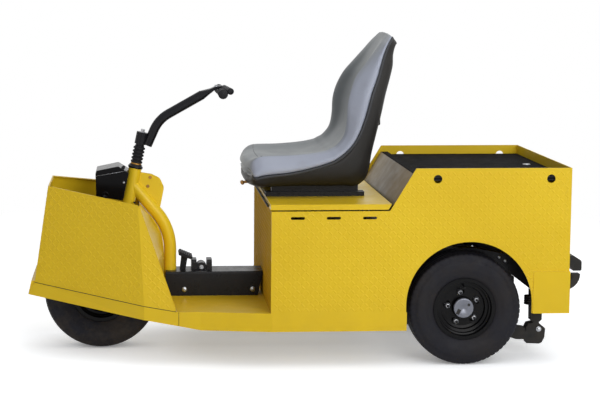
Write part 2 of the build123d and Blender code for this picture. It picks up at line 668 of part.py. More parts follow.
def seat_rail():
    """A lipped channel bolted to the lid; the seat's runner slides inside it."""
    long_way = (SLIDE_FRONT - 1, SLIDE_REAR + 1)
    channel = block((-20, 20), (SLIDE_FRONT, SLIDE_REAR), (LID_TOP, LID_TOP + 17))
    channel -= block((-16, 16), long_way, (LID_TOP + 3, LID_TOP + 13))
    channel -= block((-8, 8), long_way, (LID_TOP + 10, LID_TOP + 20))
    return Pos(RAIL_X, 0, 0) * channel


def seat_loft(section):
    """Loft through the seat's stations; section(station, rise) gives (x, height) points, x from 0 up."""
    faces = []
    for station in SEAT:
        seam = Vector(0, *station.seam)
        up = Vector(0, *station.ridge) - seam
        rise = up.length
        up = up.normalized()
        half = section(station, rise)
        points = half + [(-x, h) for x, h in reversed(half) if x > 0]
        wire = Wire(Polyline(*[seam + up * h + Vector(x, 0, 0) for x, h in points], close=True).edges())
        faces.append(Face(wire))
    return loft(faces)


def padding_section(station, rise):
    """Bowed back, rolled sides and a dished middle."""
    seam_x, ridge_x, dish, bow = station.seam_x, station.ridge_x, station.dish, station.bow
    return [(0, -bow), (0.6 * seam_x, -0.75 * bow), (seam_x, 0), (seam_x + 3, 0.35 * rise),
            (0.6 * ridge_x + 0.4 * seam_x, 0.85 * rise), (ridge_x, rise), (ridge_x - 24, rise - 0.15 * dish),
            (ridge_x - 58, rise - 0.8 * dish), (0, rise - dish)]


def shell_section(station, rise):
    """The moulded pan under the padding, a hair's breadth clear of it."""
    seam_x, bow, shell = station.seam_x, station.bow, station.shell
    clear = 1.0
    return [(0, -bow - clear), (0.6 * seam_x, -0.75 * bow - clear), (seam_x - 2, -clear),
            (seam_x - 8, -0.5 * shell), (0.78 * seam_x, -0.92 * shell), (0.6 * seam_x, -shell), (0, -shell)]


def seat_vinyl():
    return seat_loft(padding_section)


def seat_pan():
    """Moulded shell, its document ledge and the two runners that slide in the rails."""
    pan = seat_loft(shell_section)
    pan += block((-120, 120), (-300, -262), (836, 902))
    runner = block((-7, 7), (SLIDE_FRONT + 22, SLIDE_REAR - 22), (LID_TOP + 8, PAN_LOW + 14))
    runner += block((-14, 14), (SLIDE_FRONT + 22, SLIDE_REAR - 22), (LID_TOP + 4.5, LID_TOP + 8.5))
    for side in (-1, 1):
        pan += Pos(side * RAIL_X, 0, 0) * runner
    return pan


def seat_lever():
    """Slide release: a bent rod under the seat's front edge."""
    return rod(5, (100, -808, 652), (100, -795, 652)) + rod(7, (92, -808, 652), (124, -808, 652))


# ---------------------------------------------------------------- export

def all_parts():
    front = raked(Pos(0, AXLE_AHEAD, AXLE_ALONG))
    pairs = {"rail": rail(), "sill": sill(), "side": side_sheet(), "cowl": cowl_side(), "spring": spring(),
             "seat_rail": seat_rail()}
    parts = {
        "floor": floor_pan(),
        "seat_box_front": seat_box_front(),
        "divider": divider(),
        "deck": deck(),
        "deck_mat": deck_mat(),
        "rear_panel": rear_panel(),
        "bumper": bumper(),
        "battery": battery(),
        "cowl_front": cowl_front(),
        "cowl_skirt": cowl_skirt(),
        "firewall": firewall(),
        "head_tube": head_tube(),
        "main_tube": main_tube(),
        "control_box": control_box(),
        "tunnel": tunnel(),
        "brake_pedal": brake_pedal(),
        "drive_unit": drive_unit(),
        "hitch_body": hitch_body(),
        "hitch_jaw": hitch_jaw(),
        "seat_lid": seat_lid(),
        "seat_pan": seat_pan(),
        "seat_vinyl": seat_vinyl(),
        "seat_lever": seat_lever(),
        "fork": fork(),
        "steer_boot": steer_boot(),
        "tiller_bar": tiller_bar(),
        "tiller_handle": tiller_handle(),
        "front_tyre": front * tyre(FRONT_R),
        "front_rim": front * rim(-RIM_HALF + 2, RIM_HALF - 2, FRONT_AXLE_R + RUNNING_GAP),
    }
    for name, shape in pairs.items():
        parts[name + "_left"] = shape
        parts[name + "_right"] = mirrored(shape)
    for name, turn in (("left", 0), ("right", 180)):
        hub = Rot(0, 0, turn) * Pos(TRACK_X, 0, REAR_R)
        parts["rear_tyre_" + name] = hub * tyre(REAR_R)
        parts["rear_rim_" + name] = hub * rim(-4, DISC_X + 12, AXLE_R + RUNNING_GAP)
    return parts


def main():
    os.makedirs("parts", exist_ok=True)
    for name, shape in all_parts().items():
        export_step(Pos(0, REAR_AXLE_Y, 0) * shape, f"parts/{name}.step")


main()
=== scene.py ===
"""Airport baggage tug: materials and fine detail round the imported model, in metres."""
import math

import bpy
from mathutils import Matrix, Vector
from mathutils.bvhtree import BVHTree

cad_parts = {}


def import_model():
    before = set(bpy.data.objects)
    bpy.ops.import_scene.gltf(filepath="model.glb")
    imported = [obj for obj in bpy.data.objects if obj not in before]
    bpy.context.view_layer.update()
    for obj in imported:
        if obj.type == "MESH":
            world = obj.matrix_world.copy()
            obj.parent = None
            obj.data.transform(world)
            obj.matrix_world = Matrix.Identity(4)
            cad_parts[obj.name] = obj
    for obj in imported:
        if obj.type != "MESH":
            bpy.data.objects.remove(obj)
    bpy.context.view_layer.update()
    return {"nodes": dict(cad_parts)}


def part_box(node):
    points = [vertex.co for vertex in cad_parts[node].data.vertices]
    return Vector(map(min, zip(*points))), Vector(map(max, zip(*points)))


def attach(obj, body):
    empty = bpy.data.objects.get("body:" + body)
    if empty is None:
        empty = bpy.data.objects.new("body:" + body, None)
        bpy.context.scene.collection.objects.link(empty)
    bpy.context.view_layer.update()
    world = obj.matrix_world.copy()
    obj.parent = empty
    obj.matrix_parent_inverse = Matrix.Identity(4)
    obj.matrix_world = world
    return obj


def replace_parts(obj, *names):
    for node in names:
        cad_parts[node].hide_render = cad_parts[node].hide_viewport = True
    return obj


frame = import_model()
NODES = frame["nodes"]

# Millimetres: X from the middle line, Y from the rear axle, Z from the floor
REAR_AXLE_Y = 534.5                  # rear axle behind the row's origin
HEAD = (0.0, -1202.0, 689.0)         # top of the steering head
RAKE = math.radians(11.6)
FRONT_AXLE = (0.0, -1332.0, 218.0)
REAR_AXLE = (305.0, 0.0, 207.5)      # middle of the left wheel
FRONT_R = 218.0
REAR_R = 207.5
LUG_REACH = 57.15                    # wheel bolts from the axle
HANDLE = (0.0, -875.0, 981.0)        # middle of the tiller's crossbar
BOX_HALF = 72.0                      # half width of the control box
RAIL_X = 150.0                       # slide rails from the middle line
LID_HINGE = (-722.0, 588.0)
DECK_Z = 695.0


def at(x, y, z):
    """A point measured from the rear axle and the floor in millimetres, in the row's frame."""
    return Vector((x, y + REAR_AXLE_Y, z)) / 1000


# ---------------------------------------------------------------- materials

def srgb(r, g, b):
    """0-255 screen values to linear."""
    return tuple(((v / 255 + 0.055) / 1.055) ** 2.4 if v > 10 else v / 255 / 12.92 for v in (r, g, b)) + (1.0,)


class Graph:
    """A small wrapper round one material's node tree."""

    def __init__(self, name):
        self.material = bpy.data.materials.new(name)
        self.material.use_nodes = True
        self.tree = self.material.node_tree
        self.shader = self.tree.nodes["Principled BSDF"]
        self.where = self.tree.nodes.new("ShaderNodeTexCoord").outputs["Object"]

    def add(self, kind, inputs=None, **settings):
        node = self.tree.nodes.new("ShaderNode" + kind)
        for key, value in settings.items():
            setattr(node, key, value)
        for key, value in (inputs or {}).items():
            self.put(node.inputs[key], value)
        return node

    def put(self, socket, value):
        if isinstance(value, bpy.types.NodeSocket):
            self.tree.links.new(value, socket)
        else:
            socket.default_value = value

    def set(self, **values):
        for key, value in values.items():
            self.put(self.shader.inputs[key.replace("_", " ")], value)

    def noise(self, scale, detail=4.0, rough=0.55, stretch=None):
        where = self.where
        if stretch:
            where = self.add("Mapping", {"Vector": self.where, "Scale": stretch}).outputs[0]
        return self.add("TexNoise", {"Vector": where, "Scale": scale, "Detail": detail,
                                     "Roughness": rough}).outputs["Fac"]

    def remap(self, value, low, high, to_low=0.0, to_high=1.0):
        return self.add("MapRange", {"Value": value, "From Min": low, "From Max": high, "To Min": to_low,
                                     "To Max": to_high}).outputs[0]

    def math(self, kind, a, b=0.0):
        return self.add("Math", {0: a, 1: b}, operation=kind).outputs[0]

    def mix(self, share, a, b):
        node = self.add("Mix", {"Factor": share}, data_type="RGBA")
        self.put(node.inputs[6], a)
        self.put(node.inputs[7], b)
        return node.outputs[2]

    def part(self, index, vector=None):
        """X, Y or Z of the place in the object, or of another vector."""
        return self.add("SeparateXYZ", {0: self.where if vector is None else vector}).outputs[index]

    def reach(self, first, second):
        """Distance from the object's origin over two of its axes."""
        place = self.add("SeparateXYZ", {0: self.where})
        squares = [self.math("MULTIPLY", place.outputs[i], place.outputs[i]) for i in (first, second)]
        return self.math("SQRT", self.math("ADD", *squares))

    def bump(self, height, strength, distance, under=None):
        inputs = {"Height": height, "Strength": strength, "Distance": distance}
        if under is not None:
            inputs["Normal"] = under
        return self.add("Bump", inputs).outputs[0]


def layered(name, color, second, rough, spread=0.06, tint_scale=3.0, metallic=0.0, specular=0.5,
            bump_scale=900.0, bump_depth=0.00003, dirt=None, dirt_top=0.35, dirt_amount=0.3, scuff=None,
            scuff_amount=0.2):
    """Colour that drifts between two tones, worn and dirty in places, over a fine surface grain."""
    g = Graph(name)
    tone = g.mix(g.remap(g.noise(tint_scale, 3.0), 0.35, 0.65), srgb(*color), srgb(*second))
    if scuff:
        scratch = g.remap(g.noise(38.0, 6.0, 0.7, (1.0, 0.22, 3.5)), 0.66, 0.74)
        patch = g.remap(g.noise(5.0, 2.0), 0.5, 0.68)
        worn = g.math("MULTIPLY", g.math("MULTIPLY", scratch, patch), scuff_amount)
        tone = g.mix(worn, tone, srgb(*scuff))
    if dirt:
        low = g.remap(g.part(2), 0.02, dirt_top, 1.0, 0.0)
        spots = g.remap(g.noise(11.0, 8.0, 0.65), 0.38, 0.72)
        grime = g.math("MULTIPLY", g.math("MULTIPLY", low, spots), dirt_amount)
        tone = g.mix(grime, tone, srgb(*dirt))
    g.set(Base_Color=tone, Metallic=metallic, Specular_IOR_Level=specular)
    g.set(Roughness=g.remap(g.noise(24.0, 5.0), 0.3, 0.7, rough - spread, rough + spread))
    if bump_depth:
        g.set(Normal=g.bump(g.noise(bump_scale, 2.0), 0.6, bump_depth))
    return g


def yellow(name, color, second, rough, dirt_amount, **settings):
    """The tug's yellow paint, dusty towards the floor."""
    return layered(name, color, second, rough, tint_scale=2.2, dirt=(150, 120, 60), dirt_amount=dirt_amount,
                   **settings)


def seat_vinyl():
    """Smooth vinyl: fine pebble grain, slight sheen, and painted shade that darkens the faces which don't look out to
    the sides.
    """
    g = Graph("seat_vinyl")
    # The light blue-grey of the vinyl is partly a painted reflection: lighter and bluer than the bare vinyl.
    tone = g.mix(g.remap(g.noise(2.5, 3.0), 0.35, 0.65), srgb(164, 169, 183), srgb(155, 160, 174))
    tone = g.mix(g.math("MULTIPLY", g.remap(g.noise(14.0, 6.0, 0.6), 0.55, 0.8), 0.22), tone, srgb(112, 114, 115))
    # Painted shade: faces that don't look outward to the sides get a darker grey-green, as if in shade.
    outward = g.math("MULTIPLY", g.part(0, g.add("NewGeometry").outputs["Normal"]), g.math("SIGN", g.part(0)))
    painted_shade_mask = g.remap(outward, 0.1, 0.55, 0.85, 0.0)
    g.set(Base_Color=g.mix(painted_shade_mask, tone, srgb(97, 103, 102)))
    g.set(Roughness=g.remap(g.noise(9.0, 4.0), 0.3, 0.7, 0.34, 0.46), Specular_IOR_Level=0.28)
    g.set(Sheen_Weight=0.05, Sheen_Roughness=0.4, Coat_Weight=0.04, Coat_Roughness=0.3)
    pebble = g.add("TexVoronoi", {"Vector": g.where, "Scale": 620.0}, feature="SMOOTH_F1").outputs["Distance"]
    crease = g.noise(45.0, 5.0, 0.6, (1.0, 1.0, 0.5))
    g.set(Normal=g.bump(pebble, 0.35, 0.0002, g.bump(crease, 0.18, 0.0008)))
    return g


def tyre_rubber(name, dust_amount):
    """Black rubber with fine rings on the walls and dust in the tread."""
    g = Graph(name)
    rings = g.math("SINE", g.math("MULTIPLY", g.reach(1, 2), 2600.0))
    dust = g.math("MULTIPLY", g.remap(g.noise(8.0, 8.0, 0.68), 0.4, 0.75), dust_amount)
    tone = g.mix(g.remap(g.noise(4.0, 3.0), 0.35, 0.65), srgb(24, 24, 31), srgb(18, 18, 24))
    g.set(Base_Color=g.mix(dust, tone, srgb(112, 100, 84)))
    g.set(Roughness=g.remap(g.noise(30.0, 5.0), 0.3, 0.7, 0.52, 0.7), Specular_IOR_Level=0.18)
    g.set(Normal=g.bump(rings, 0.25, 0.0003, g.bump(g.noise(500.0, 3.0), 0.4, 0.0002)))
    return g


def ribbed_mat():
    """Black rubber matting with fine ribs across the bed."""
    g = Graph("rubber_mat")
    rib_pitch = 0.006
    ribs = g.math("SINE", g.math("MULTIPLY", g.part(0), 2 * math.pi / rib_pitch))
    tone = g.mix(g.remap(g.noise(5.0, 6.0, 0.6), 0.4, 0.7), srgb(18, 18, 20), srgb(26, 25, 26))
    g.set(Base_Color=tone, Roughness=g.remap(g.noise(20.0, 5.0), 0.3, 0.7, 0.7, 0.85), Specular_IOR_Level=0.04)
    g.set(Normal=g.bump(ribs, 0.7, 0.0009, g.bump(g.noise(700.0, 3.0), 0.4, 0.0002)))
    return g


def turned_steel():
    """Bright hub face with the lathe's rings."""
    g = Graph("turned_steel")
    radius = g.add("CombineXYZ", {0: g.reach(1, 2)}).outputs[0]
    rings = g.add("TexNoise", {"Vector": radius, "Scale": 900.0, "Detail": 4.0}).outputs["Fac"]
    g.set(Base_Color=g.mix(g.remap(rings, 0.35, 0.65), srgb(120, 122, 130), srgb(84, 86, 94)), Metallic=0.85)
    g.set(Roughness=g.remap(g.noise(60.0, 4.0), 0.3, 0.7, 0.26, 0.4))
    g.set(Normal=g.bump(rings, 0.3, 0.0001))
    return g


def make_materials():
    """Every finish by the short key that the pieces and nodes use."""
    graphs = {
        "yellow": yellow("yellow_paint", (226, 191, 34), (220, 184, 30), 0.34, 0.22, specular=0.22, dirt_top=0.3,
                         bump_scale=420.0, bump_depth=0.00012, scuff=(236, 208, 80), scuff_amount=0.12),
        # The bars' yellow is a touch lighter than the sheet's: a faint painted highlight on their tops.
        "bar": yellow("yellow_paint_bars_painted_highlight", (228, 193, 37), (222, 186, 33), 0.36, 0.2, specular=0.22, dirt_top=0.3,
                      bump_depth=0.0),
        # Painted light: a brighter copy of the same yellow for the steering column, standing in for light that falls
        # on it.
        "lit": yellow("yellow_paint_painted_light", (240, 205, 40), (234, 198, 36), 0.34, 0.22, specular=0.26,
                      dirt_top=0.3, bump_scale=420.0, bump_depth=0.00008),
        # Painted shade: a darker, duller copy of the same yellow for the seat box front and its tread.
        "shade": yellow("yellow_paint_painted_shade", (200, 162, 42), (192, 154, 38), 0.6, 0.3, specular=0.04,
                        dirt_top=0.4, bump_depth=0.00006),
        "black": layered("black_paint", (22, 22, 26), (28, 28, 32), 0.3, specular=0.16, bump_scale=500.0,
                         bump_depth=0.00008, scuff=(82, 82, 86), scuff_amount=0.14, dirt=(80, 72, 60),
                         dirt_amount=0.2),
        "gloss": layered("rim_black", (8, 8, 10), (12, 12, 14), 0.2, 0.04, specular=0.1, bump_depth=0.00002,
                         dirt=(90, 82, 70), dirt_amount=0.06, dirt_top=0.4),
        "cast": layered("dark_steel", (36, 36, 37), (48, 45, 42), 0.62, 0.1, 9.0, specular=0.2,
                        bump_scale=260.0, bump_depth=0.0004, scuff=(104, 84, 62), scuff_amount=0.3,
                        dirt=(96, 84, 66), dirt_amount=0.3),
        "steel": layered("bare_steel", (178, 180, 184), (150, 152, 156), 0.32, 0.08, 12.0, metallic=0.9,
                         bump_depth=0.00005),
        "zinc": layered("zinc_plate", (176, 128, 58), (150, 112, 62), 0.4, 0.08, 14.0, metallic=0.75,
                        bump_depth=0.00005),
        "grey": layered("grey_sheet", (152, 132, 92), (142, 124, 90), 0.42, 0.08, 3.0, specular=0.3,
                        scuff=(200, 190, 170), scuff_amount=0.25, bump_depth=0.00006),
        "shell": layered("seat_shell", (28, 27, 27), (35, 33, 31), 0.5, 0.07, specular=0.25, bump_scale=1100.0,
                         bump_depth=0.00022, scuff=(80, 78, 74), scuff_amount=0.15),
        "welt": layered("seat_welt", (58, 59, 62), (50, 51, 54), 0.5, 0.06, specular=0.3, bump_scale=800.0,
                        bump_depth=0.0001),
        "battery": layered("battery_case", (42, 44, 48), (52, 53, 56), 0.45, bump_scale=600.0,
                           bump_depth=0.0001),
        "grip": layered("grip_rubber", (22, 22, 25), (29, 29, 32), 0.6, 0.08, specular=0.2, bump_scale=900.0,
                        bump_depth=0.0002),
        "mat": ribbed_mat(),
        "vinyl": seat_vinyl(),
        "tyre": tyre_rubber("tyre", 0.08),
        "dusty": tyre_rubber("tyre_dusty", 0.34),
        "turned": turned_steel(),
    }
    return {key: graph.material for key, graph in graphs.items()}


MATERIALS = make_materials()
NODE_FINISH = {
    "yellow": ("floor", "sill_left", "sill_right", "side_left", "side_right", "rear_panel", "bumper", "cowl_left",
               "cowl_right", "cowl_front", "cowl_skirt", "firewall", "seat_lid"),
    # Painted light: the steering column takes the brighter copy of the yellow.
    "lit": ("head_tube", "main_tube"),
    # Painted shade: the seat box front takes the darker copy of the yellow.
    "shade": ("seat_box_front",),
    "grey": ("divider",),
    "mat": ("deck_mat",),
    "black": ("deck", "rail_left", "rail_right", "control_box", "tunnel", "fork", "tiller_bar", "seat_rail_left",
              "seat_rail_right"),
    "cast": ("drive_unit", "spring_left", "spring_right", "hitch_body", "hitch_jaw"),
    "zinc": ("seat_lever",),
    "battery": ("battery",),
    "gloss": ("front_rim", "rear_rim_left", "rear_rim_right"),
    "shell": ("seat_pan",),
    "grip": ("tiller_handle", "steer_boot", "brake_pedal"),
    "vinyl": ("seat_vinyl",),
    "tyre": ("front_tyre", "rear_tyre_left", "rear_tyre_right"),
}


def finish_nodes():
    """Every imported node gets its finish, also those that a piece of this script stands for."""
    for key, names in NODE_FINISH.items():
        for name in names:
            NODES[name].data.materials.clear()
            NODES[name].data.materials.append(MATERIALS[key])


# ---------------------------------------------------------------- mesh helpers

def make(name, verts, faces, key, body, smooth=True, origin=Vector((0, 0, 0))):
    """A mesh piece in the row's frame that takes a finish and rides on a body."""
    mesh = bpy.data.meshes.new(name)
    mesh.from_pydata([Vector(v) - origin for v in verts], [], faces)
    mesh.validate()
    mesh.materials.append(MATERIALS[key])
    mesh.polygons.foreach_set("use_smooth", [smooth] * len(mesh.polygons))
    piece = bpy.data.objects.new(name, mesh)
    piece.location = origin
    bpy.context.scene.collection.objects.link(piece)
    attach(piece, body)
    return piece


class Heap:
    """Vertices and faces of several small forms gathered into one piece."""

    def __init__(self):
        self.verts, self.faces = [], []

    def add(self, verts, faces):
        start = len(self.verts)
        self.verts += verts
        self.faces += [tuple(i + start for i in face) for face in faces]

    def make(self, name, key, body, smooth=True):
        return make(name, self.verts, self.faces, key, body, smooth)


def basis(axis):
    """Two unit vectors square to an axis and to each other."""
    axis = Vector(axis).normalized()
    side = Vector((0, 0, 1)) if abs(axis.z) < 0.9 else Vector((1, 0, 0))
    u = side.cross(axis).normalized()
    return u, axis.cross(u), axis


def lathe(profile, centre, axis, around=32):
    """Rings of (radius, along) points in metres round an axis; a radius of 0 closes to a point."""
    u, v, w = basis(axis)
    verts, faces, rings = [], [], []
    for radius, along in profile:
        middle = Vector(centre) + w * along
        if radius < 1e-6:
            rings.append([len(verts)] * around)
            verts.append(middle)
            continue
        rings.append(list(range(len(verts), len(verts) + around)))
        for i in range(around):
            angle = 2 * math.pi * i / around
            verts.append(middle + (u * math.cos(angle) + v * math.sin(angle)) * radius)
    for low, high in zip(rings, rings[1:]):
        for i in range(around):
            j = (i + 1) % around
            corners = []
            for k in (low[i], low[j], high[j], high[i]):
                if k not in corners:
                    corners.append(k)
            if len(corners) > 2:
                faces.append(tuple(corners))
    return verts, faces


def mm(pairs):
    """Millimetre pairs in metres."""
    return [(a / 1000, b / 1000) for a, b in pairs]


def dome(radius, height):
    """Profile of a low rounded bolt head, from its sizes in millimetres."""
    return mm([(radius, -0.5), (radius, 0.25 * height), (0.93 * radius, 0.5 * height), (0.7 * radius, 0.82 * height),
               (0.35 * radius, 0.97 * height), (0, height)])


def hex_bolt(radius, height):
    """Six-sided head on a washer, sizes in millimetres, as (verts, faces) at the origin along +Z."""
    washer = mm([(radius * 1.25, 0), (radius * 1.25, 1.2), (radius * 1.15, 1.6), (0, 1.6)])
    head = mm([(radius, 1.4), (radius, height - 0.8), (radius * 0.86, height), (0, height)])
    heap = Heap()
    heap.add(*lathe(washer, (0, 0, 0), (0, 0, 1), 20))
    heap.add(*lathe(head, (0, 0, 0), (0, 0, 1), 6))
    return heap.verts, heap.faces


def placed(form, centre, axis):
    """A form drawn at the origin along +Z, moved to a place and direction."""
    u, v, w = basis(axis)
    turn = Matrix((u, v, w)).transposed()
    return [Vector(centre) + turn @ Vector(p) for p in form[0]], form[1]


def skin(rings, count, flip=False, ends=True):
    """Faces that join rings of points one after the other, each ring closed on itself."""
    faces = []
    for i in range(rings - 1):
        for k in range(count):
            m = (k + 1) % count
            face = (i * count + k, i * count + m, (i + 1) * count + m, (i + 1) * count + k)
            faces.append((face[0],) + face[:0:-1] if flip else face)
    if ends:
        first, last = tuple(range(count)), tuple(range((rings - 1) * count, rings * count))
        faces += [first, last[::-1]] if flip else [first[::-1], last]
    return faces


def mirrored(half):
    """A ring from the (x, height) points of its half with x of 0 or more."""
    return half + [(-x, h) for x, h in half[-2:0:-1]]


def prism(outline, x_low, x_high):
    """A side-view outline of (y, z) points made solid between two x planes."""
    verts = [at(x, y, z) for x in (x_low, x_high) for y, z in outline]
    return verts, skin(2, len(outline), flip=True)


def tube_along(points, radius, around=10):
    """A round bar along a line of points, its radius in metres."""
    verts = []
    last = len(points) - 1
    for i, point in enumerate(points):
        u, v, _ = basis(points[min(i + 1, last)] - points[max(i - 1, 0)])
        for k in range(around):
            angle = 2 * math.pi * k / around
            verts.append(point + (u * math.cos(angle) + v * math.sin(angle)) * radius)
    return verts, skin(len(points), around)


def bevel(piece, width):
    """Two-step rounding of a sheet piece's edges; the width is in metres."""
    edges = piece.modifiers.new("edges", "BEVEL")
    edges.width, edges.segments = width, 2


# ---------------------------------------------------------------- tread plate

BAR_LENGTH, BAR_WIDTH, BAR_HEIGHT, BAR_PITCH = 0.0238, 0.0070, 0.0011, 0.0165
FLAT_ENOUGH = 0.985                  # least cosine between a bar's ground and the plate's facing
LEVEL_ENOUGH = 0.004                 # most that the ground under one bar may differ in height


def lozenge():
    """One raised bar: lens-shaped foot, sloping flanks, small flat top; (u, v, height) points."""
    around = 8
    rings = ((1.0, 1.0, -0.15), (0.74, 0.56, 0.85), (0.56, 0.3, 1.0))
    verts = []
    for along, wide, high in rings:
        for i in range(around):
            angle = 2 * math.pi * i / around
            verts.append((0.5 * BAR_LENGTH * along * math.cos(angle), 0.5 * BAR_WIDTH * wide * math.sin(angle),
                          BAR_HEIGHT * high))
    top = tuple(range((len(rings) - 1) * around, len(rings) * around))
    return verts, skin(len(rings), around, ends=False) + [top]


def tread_plate(name, node, facing, key="bar"):
    """Bars in a basket weave over the flat face of a chassis node that looks a certain way."""
    mesh = NODES[node].data
    tree = BVHTree.FromPolygons([v.co for v in mesh.vertices], [p.vertices for p in mesh.polygons])
    low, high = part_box(node)
    u, v, w = basis(facing)
    middle = (low + high) / 2
    reach = (high - low).length / 2
    ahead = w * (reach + 0.1)        # rays start outside the node's box
    bar_verts, bar_faces = lozenge()
    steps = int(reach / BAR_PITCH) + 1
    heap = Heap()
    for i in range(-steps, steps + 1):
        for j in range(-steps, steps + 1):
            start = middle + u * (i * BAR_PITCH) + v * (j * BAR_PITCH)
            turn = math.radians(45 if (i + j) % 2 else -45)
            points = []
            for a, b, h in bar_verts:
                spot = start + u * (a * math.cos(turn) - b * math.sin(turn))
                spot += v * (a * math.sin(turn) + b * math.cos(turn))
                hit, normal, _, _ = tree.ray_cast(spot + ahead, -w)
                if not points:
                    first = hit
                if hit is None or normal.dot(w) < FLAT_ENOUGH or abs((hit - first).dot(w)) > LEVEL_ENOUGH:
                    break
                points.append(hit + w * h)
            if len(points) == len(bar_verts):
                heap.add(points, bar_faces)
    heap.make(name, key, "chassis")


def flank_normal(node, side):
    """Mean outward normal of a cowl sheet's flank, the part that looks sideways and forward."""
    total = Vector((0, 0, 0))
    for polygon in NODES[node].data.polygons:
        normal = polygon.normal
        if normal.x * side > 0.5 and normal.y < -0.2:
            total += normal * polygon.area
    return total.normalized()


def plates():
    """Tread on the sheets that show it in the photo, and on their like on the sides it doesn't show."""
    for name, side in (("left", 1), ("right", -1)):
        cowl = "cowl_" + name
        tread_plate("tread_side_" + name, "side_" + name, (side, 0, 0))
        tread_plate("tread_cowl_" + name, cowl, flank_normal(cowl, side))
        tread_plate("tread_wing_" + name, cowl, (side, 0, 0))
    tread_plate("tread_nose", "cowl_front", (0, -361, 53))
    # The box front's bars take the darker copy of the yellow: painted shade.
    tread_plate("tread_box_front", "seat_box_front", (0, -1, 0), "shade")
    tread_plate("tread_tail", "rear_panel", (0, 1, 0))


# ---------------------------------------------------------------- wheels

def tyre_profile(radius, crown):
    """(place across, radius) points from one bead over the tread to the other, in two halves."""
    half = [(0.0, radius)]
    for groove in (14.0, 31.0):
        for offset, depth in ((-2.6, 0.0), (-2.0, 4.6), (2.0, 4.6), (2.6, 0.0)):
            x = groove + offset
            half.append((x, radius - crown * (x / 48.0) ** 2 - depth))
    edge = radius - crown
    half += [(40.0, radius - 0.72 * crown), (46.0, edge - 0.3), (50.0, edge - 2.2), (52.6, edge - 6.6),
             (54.6, edge - 14.6), (56.2, radius - 26.0), (58.2, radius - 28.4), (59.4, radius - 37.0),
             (59.8, radius - 47.0), (59.2, radius - 56.0), (57.6, radius - 66.0), (56.4, radius - 68.0),
             (54.6, radius - 76.0), (51.0, radius - 84.0), (47.6, 118.5), (45.8, 116.4), (43.0, 115.0),
             (41.6, 110.0), (41.4, 104.6)]
    return half[:0:-1], half


def tyre(name, radius, crown, centre, key, body, node):
    """Ribbed tread with cuts across each shoulder, moulded rings on the walls."""
    cuts, per_cut = 66, 6                # per_cut: steps round the tyre from one cut to the next
    around = cuts * per_cut
    near, far = tyre_profile(radius, crown)
    profile = [(-x, r) for x, r in near] + far
    verts, faces = [], []
    for i in range(around):
        angle = 2 * math.pi * i / around
        phase = i % per_cut
        for x, r in profile:
            across = abs(x)
            cut_here = phase == (0 if x > 0 else per_cut // 2)
            if 36 < across < 57 and r > radius - 27 and cut_here:
                r -= 3.0 if across < 53 else 2.0
            verts.append(centre + Vector((x, r * math.cos(angle), r * math.sin(angle))) / 1000)
    count = len(profile)
    for i in range(around):
        j = (i + 1) % around
        for k in range(count - 1):
            faces.append((i * count + k, i * count + k + 1, j * count + k + 1, j * count + k))
        faces.append((i * count + count - 1, i * count, j * count, j * count + count - 1))
    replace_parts(make(name, verts, faces, key, body, origin=centre), node)


RIM_FACE, HUB_TOP, HUB_R = 8.0, 33.5, 35.0   # bolting face and hub face from the wheel's middle plane; hub radius


def lug_spots(centre, along):
    """Where the five wheel bolts stand; along is how far they sit out from the wheel's middle plane."""
    for i in range(5):
        angle = math.radians(101 + 72 * i)
        yield centre + Vector((along, LUG_REACH * math.cos(angle), LUG_REACH * math.sin(angle))) / 1000


def wheel_trim(name, centre, outward, body):
    """Lug nuts with their studs, the hub's bright face and the valve stem."""
    axis = Vector((outward, 0, 0))
    nuts, studs = Heap(), Heap()
    nut = mm([(9.0, 0), (11.6, 1.0), (11.6, 5.0), (10.6, 7.5), (9.4, 12.0), (7.4, 14.6), (5.4, 15.4)])
    stud = mm([(5.4, 14.8), (5.4, 18.2), (4.4, 19.2), (0, 19.2)])
    for spot in lug_spots(centre, outward * RIM_FACE):
        nuts.add(*lathe(nut, spot, axis, 18))
        studs.add(*lathe(stud, spot, axis, 14))
    nuts.make(name + "_lug_nuts", "steel", body)
    studs.make(name + "_studs", "black", body)
    hub = mm([(HUB_R + 2.0, HUB_TOP - 12.0), (HUB_R + 2.0, HUB_TOP - 1.4), (HUB_R, HUB_TOP),
              (HUB_R - 3.0, HUB_TOP + 0.3), (8.0, HUB_TOP + 0.3), (6.0, HUB_TOP - 1.2), (0, HUB_TOP - 1.2)])
    make(name + "_hub_face", *lathe(hub, centre, axis, 56), "turned", body, origin=centre)
    valve = mm([(4.2, 0), (3.6, 4), (3.2, 22), (3.8, 23), (3.8, 30), (0, 31)])
    foot = centre + Vector((outward * 12.0, 0, 84.0)) / 1000
    make(name + "_valve", *lathe(valve, foot, axis + Vector((0, 0, -0.25)), 12), "grip", body)


def hub_shade_patches(name, centre, outward, body):
    """Flat dark patches on the hub face, one square, one round: painted shade standing for keyed recesses."""
    heap = Heap()
    plane = centre + Vector((outward * (HUB_TOP + 0.5), 0, 0)) / 1000
    turn = math.radians(-24)
    for (y, z), (wide, tall) in (((-19.5, -13.0), (13.0, 20.0)), ((18.5, 12.5), (11.0, 11.0))):
        outline = []
        for i in range(16):
            angle = 2 * math.pi * i / 16
            c, s = math.cos(angle), math.sin(angle)
            square = max(abs(c), abs(s)) if wide != tall else 1.0
            a, b = 0.5 * wide * c / square, 0.5 * tall * s / square
            outline.append(plane + Vector((0, y + a * math.cos(turn) - b * math.sin(turn),
                                           z + a * math.sin(turn) + b * math.cos(turn))) / 1000)
        heap.add(outline, [tuple(range(16))])
    heap.make(name + "_hub_shade_patches", "shell", body, False)


